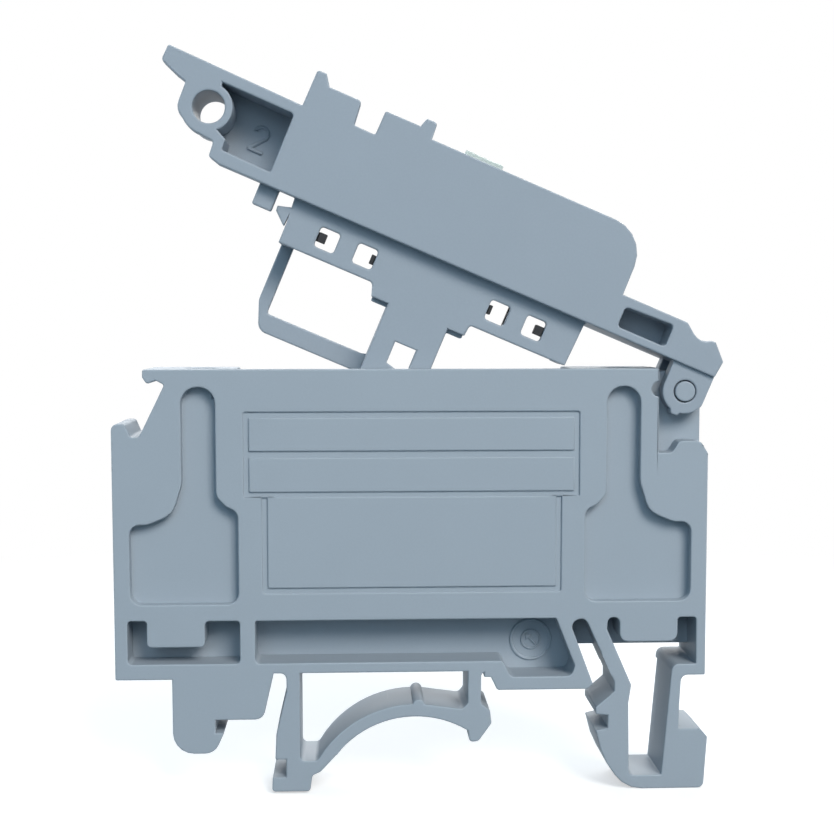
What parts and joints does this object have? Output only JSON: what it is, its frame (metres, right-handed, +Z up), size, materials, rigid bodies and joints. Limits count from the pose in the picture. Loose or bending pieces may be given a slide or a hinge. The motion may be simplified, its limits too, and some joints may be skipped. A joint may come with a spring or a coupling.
{
  "type": "fuse terminal block",
  "caption": "Rail-mounted fuse terminal block with an open-backed moulded body, a hinged fuse lever, knife contacts and a cage clamp for a conductor at each end.",
  "frame": {"origin": "middle of the 35 mm rail, at the level where the rail flange seats, and at the middle of the block's thickness", "axes": "+X along the block from the pull eye to the hinge, +Y through the block's thickness from the closed face to the open back, +Z up from the rail"},
  "size_m": [0.0542, 0.008, 0.066],
  "materials": {
    "body_plastic": "fine matt moulded polyamide, blue-grey",
    "lever_plastic": "fine matt moulded polyamide, blue-grey",
    "lens": "milky pale green clear plastic",
    "board": "green solder resist",
    "led": "clear resin",
    "resistor": "black enamel",
    "contact_metal": "tin-plated copper alloy",
    "glass": "clear glass tube",
    "cap_metal": "nickel-plated cap",
    "clip_metal": "darkened spring bronze",
    "rivet_metal": "plated rivet",
    "bar_metal": "tin-plated copper",
    "clamp_steel": "zinc-plated steel",
    "screw_steel": "zinc-plated steel"
  },
  "bodies": {
    "body": {"housing": "body_plastic", "contact_fork_left": "contact_metal", "contact_fork_right": "contact_metal", "fork_rivet_left": "rivet_metal", "fork_rivet_right": "rivet_metal", "current_bar_left": "bar_metal", "current_bar_right": "bar_metal"},
    "lever": {"fuse_lever": "lever_plastic", "indicator_lens": "lens", "indicator_board": "board", "indicator_led": "led", "indicator_resistor": "resistor", "indicator_spring_left": "contact_metal", "indicator_spring_right": "contact_metal", "fuse_clip_left": "clip_metal", "fuse_clip_right": "clip_metal"},
    "fuse": {"fuse_glass": "glass", "fuse_cap_left": "cap_metal", "fuse_cap_right": "cap_metal", "fuse_wire": "contact_metal"},
    "screw_left": {"clamp_screw_left": "screw_steel"},
    "screw_right": {"clamp_screw_right": "screw_steel"},
    "cage_left": {"clamp_cage_left": "clamp_steel"},
    "cage_right": {"clamp_cage_right": "clamp_steel"}
  },
  "joints": [
    {"name": "lever_hinge", "type": "hinge", "parent": "body", "child": "lever", "pos_m": [0.02437, 0, 0.02925], "axis": [0, 1, 0], "range_deg": [-23, 71]},
    {"name": "fuse_slide", "type": "slide", "parent": "lever", "child": "fuse", "axis": [0, 1, 0], "range_m": [0, 0.012]},
    {"name": "screw_turn_left", "type": "hinge", "parent": "body", "child": "screw_left", "pos_m": [-0.0188, 0.0002, 0.02], "axis": [0, 0, -1], "range_deg": [0, 1800]},
    {"name": "screw_turn_right", "type": "hinge", "parent": "body", "child": "screw_right", "pos_m": [0.0188, 0.0002, 0.02], "axis": [0, 0, -1], "range_deg": [0, 1800]},
    {"name": "cage_lift_left", "type": "slide", "parent": "body", "child": "cage_left", "axis": [0, 0, 1], "range_m": [0, 0.0025]},
    {"name": "cage_lift_right", "type": "slide", "parent": "body", "child": "cage_right", "axis": [0, 0, 1], "range_m": [0, 0.0025]}
  ],
  "couplings": [
    {"joint": "screw_turn_left", "follows": "cage_lift_left", "rad_per_m": 12566},
    {"joint": "screw_turn_right", "follows": "cage_lift_right", "rad_per_m": 12566}
  ]
}
